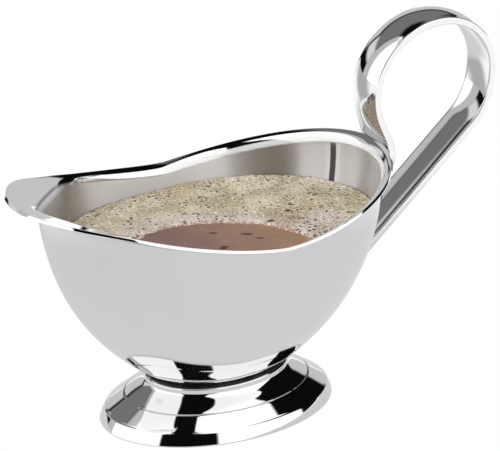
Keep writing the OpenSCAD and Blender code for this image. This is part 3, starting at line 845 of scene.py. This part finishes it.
def foam_material():
    m, g, out = new_material("gravy_foam")
    at = g.place()
    tone = g.noise(at, 110, 4)
    grit = g.noise(at, 900, 3, 0.7)
    grain = g.cells(at, 850)
    near_pool = g.math("SUBTRACT", 1.0, g.ramp(g.attribute("pool"), 1.12, 1.55))
    near_pool = g.math("MAXIMUM", near_pool, g.attribute("pale"))
    base = g.over((0.42, 0.365, 0.215, 1), (0.66, 0.60, 0.44, 1), g.scaled(tone, 0.34, 0.66))
    base = g.over(base, (0.46, 0.32, 0.16, 1), g.scaled(g.noise(at, 28, 2), 0.48, 0.68, 0.0, 0.45))
    base = g.over(base, (0.62, 0.53, 0.49, 1), g.times(near_pool, g.scaled(tone, 0.3, 0.55, 0.6, 1.0)))
    browner = g.times(g.attribute("brown"), g.scaled(tone, 0.35, 0.6, 0.35, 0.8))
    base = g.over(base, (0.34, 0.25, 0.15, 1), browner)
    base = g.over(base, (0.88, 0.85, 0.78, 1), g.math("MULTIPLY", g.ramp(grit, 0.53, 0.66), 0.75))
    base = g.over(base, (0.17, 0.11, 0.06, 1), g.times(g.ramp(g.times(grit, -1.0), -0.46, -0.34), 0.75))
    cell_dark = g.times(g.rest(g.ramp(grain, 0.08, 0.30)), g.ramp(g.noise(at, 330, 1), 0.45, 0.6))
    base = g.over(base, (0.13, 0.075, 0.045, 1), g.math("MULTIPLY", cell_dark, 0.8))
    inside = g.ramp(g.attribute("bubble"), 0.25, 0.75)
    more = g.math("MULTIPLY", g.math("MAXIMUM", near_pool, g.attribute("brown")), 0.05)
    some = g.ramp(g.math("ADD", g.noise(at, 230, 1), more), 0.48, 0.57)
    base = g.over(base, (0.10, 0.05, 0.03, 1), g.math("MULTIPLY", g.math("MULTIPLY", inside, some), 0.85))
    rim = g.math("MULTIPLY", g.band(g.attribute("bubble"), 0.05, 0.25, 0.05), some)
    base = g.over(base, (0.92, 0.88, 0.82, 1), g.math("MULTIPLY", rim, 0.7))
    ragged = g.math("ADD", g.attribute("froth"), g.scaled(grit, 0.4, 0.6, -0.25, 0.25))
    liquid = g.rest(g.ramp(ragged, 0.1, 0.75))
    base = g.over(base, (0.32, 0.19, 0.15, 1), g.math("MULTIPLY", liquid, 0.85))
    # painted shade: the middles of the large bubbles are coloured near black
    base = g.over(base, (0.05, 0.02, 0.015, 1), g.ramp(g.attribute("big"), 0.35, 0.65))
    rays = g.node("ShaderNodeLightPath")
    # painted reflection: froth seen in mirrors is coloured brown
    base = g.over(base, (0.30, 0.235, 0.17, 1), g.times(rays.outputs["Is Glossy Ray"], 0.75))
    b = g.node("ShaderNodeBsdfPrincipled", IOR=1.36)
    g.put(b.inputs["Base Color"], base)
    g.put(b.inputs["Roughness"], g.scaled(grit, 0.3, 0.7, 0.38, 0.62))
    normal = g.bump(grain, 0.00025, 0.8)
    g.put(b.inputs["Normal"], g.bump(grit, 0.0002, 0.8, normal))
    g.put(out.inputs[0], b.outputs[0])
    return m


# ---------------------------------------------------------------- pieces
bowl_mesh(bowl_material())
wall_tree = BVHTree.FromPolygons([Vector(p) for p in outer.reshape(-1, 3)],
                                 strip_faces(len(outer), BOWL_AROUND))
foot_mesh(steel("foot_steel"))
strap_end = handle_mesh(steel("handle_steel", grain=(0.03, 1, 0.03)), wall_tree)
# the weld is real; its near-black colour is painted shade
seat_weld(weld_material("seat_weld_painted_shade", 0.030, 0.22, 0.5))
handle_welds(weld_material("handle_weld_steel", 0.66, 0.14, 0.7), strap_end)

gravy_mesh(gravy_material())
foam_mesh(foam_material())

# ---------------------------------------------------------------- stage
floor_me = bpy.data.meshes.new("floor")
floor_me.from_pydata([(-4, -4, 0), (4, -4, 0), (4, 4, 0), (-4, 4, 0)], [], [(0, 1, 2, 3)])
floor = bpy.data.objects.new("floor", floor_me)
scene.collection.objects.link(floor)

target = Vector(((FOOT_X + 10) * MM, 0, 0.060))
back = Vector((math.sin(CAM_AZ) * math.cos(CAM_EL), -math.cos(CAM_AZ) * math.cos(CAM_EL), math.sin(CAM_EL)))
cam_data = bpy.data.cameras.new("camera")
cam = bpy.data.objects.new("camera", cam_data)
scene.collection.objects.link(cam)
cam.location = target + back * CAM_D
cam.rotation_euler = back.to_track_quat("Z", "Y").to_euler()
cam_data.sensor_width = 36
cam_data.lens = cam_data.sensor_width * CAM_D / (VIEW_WIDE * MM)
cam_data.shift_x = SHIFT_X
cam_data.shift_y = SHIFT_Y
scene.camera = cam

world = bpy.data.worlds.new("studio")
scene.world = world
world.use_nodes = True
wt = world.node_tree
wt.nodes.clear()

g = Graph(wt)
toward = g.node("ShaderNodeTexCoord").outputs["Generated"]
xyz = g.node("ShaderNodeSeparateXYZ")
g.put(xyz.inputs[0], toward)
height = g.math("MULTIPLY", g.math("ARCSINE", xyz.outputs[2]), 180 / math.pi)
right, front = g.camera_sides(xyz.outputs[0], xyz.outputs[1])
around = g.bearing(xyz.outputs[0], xyz.outputs[1])

DIFFUSE_LIFT = 1.7          # matt things get this much more light than mirrors show
# Two big soft panels left and right of the camera lean in over the boat, with a dark gap between them;
# each edge of the gap is the pair of bearings between which the light comes up
GAP_LEFT, GAP_RIGHT, GAP_LEAN = (19.5, 22.5), (27.5, 30.5), 9.0
gap_left = g.ramp(g.math("MULTIPLY", around, -1.0), *GAP_LEFT)
lean = g.math("MULTIPLY", GAP_LEAN, g.ramp(height, 18, 42))
gap_right = g.ramp(g.math("ADD", around, lean), *GAP_RIGHT)
apart = g.ramp(g.math("ABSOLUTE", right), 0.07, 0.10)
panel = g.times(g.math("ADD", gap_left, gap_right), apart, g.ramp(front, -0.20, -0.17))
side_end = g.rest(g.times(g.ramp(around, 93, 95.5), g.rest(g.ramp(height, 60, 75))))
rear_left = g.math("SUBTRACT", 1.0, g.ramp(g.math("MULTIPLY", around, -1.0), 108, 111))
colour = g.over(grey(0.004, (1, 1, 1.3)), grey(1.35), g.times(panel, side_end, rear_left))

# Further cards: sides and heights in degrees seen from the boat (0 is the camera, positive to its right),
# softness, grey
CARDS = [
    (-115, -100, -10, 60, 2, 0.6),       # left side
    (145, 220, -10, 20, 2, 0.65),        # low behind, either side of straight back
    (-220, -145, -10, 20, 2, 0.65),
    (-220, -115, 25, 60, 4, 0.2),        # high behind
    (160, 220, 25, 60, 4, 0.2),
    (-140, -115, 10, 25, 3, 0.8),        # low at the rear left
]
for lo_a, hi_a, lo_h, hi_h, soft, value in CARDS:
    mask = g.math("MULTIPLY", g.band(around, lo_a, hi_a, soft), g.band(height, lo_h, hi_h, soft))
    colour = g.over(colour, grey(value), mask)
rays = g.node("ShaderNodeLightPath")
colour = g.over(colour, g.over(colour, grey(DIFFUSE_LIFT), 1.0, "MULTIPLY"), rays.outputs["Is Diffuse Ray"])
colour = g.over(colour, grey(1.0), rays.outputs["Is Camera Ray"])
background = g.node("ShaderNodeBackground")
g.put(background.inputs[0], colour)
g.put(g.node("ShaderNodeOutputWorld").inputs[0], background.outputs[0])

floor_mat, g, floor_out = new_material("floor")
rays = g.node("ShaderNodeLightPath")
seen = g.node("ShaderNodeEmission")
g.put(seen.inputs[0], grey(1.0))
mirrored = g.node("ShaderNodeEmission")
where = g.node("ShaderNodeNewGeometry").outputs["Position"]
rel = g.node("ShaderNodeVectorMath", operation="SUBTRACT")
g.put(rel.inputs[0], where)
g.put(rel.inputs[1], (FOOT_X * MM, 0, 0))
spot = g.node("ShaderNodeVectorMath", operation="LENGTH")
g.put(spot.inputs[0], rel.outputs[0])
xyz = g.node("ShaderNodeSeparateXYZ")
g.put(xyz.inputs[0], rel.outputs[0])
bearing = g.bearing(xyz.outputs[0], xyz.outputs[1])
# what mirrors see of the floor is painted: painted shade of 0.75 near the boat, 1.15 further out
reach = g.ramp(spot.outputs["Value"], 0.15, 0.26)
far = g.over(grey(1.15), grey(0.5), g.band(bearing, -140, -95, 10))     # in shade on the left
g.put(mirrored.inputs[0], g.over(grey(0.75), far, reach))
blend = g.node("ShaderNodeMixShader")
g.put(blend.inputs[0], rays.outputs["Is Camera Ray"])
g.put(blend.inputs[1], mirrored.outputs[0])
g.put(blend.inputs[2], seen.outputs[0])
g.put(floor_out.inputs[0], blend.outputs[0])
floor_me.materials.append(floor_mat)
scene.view_settings.view_transform = "Standard"
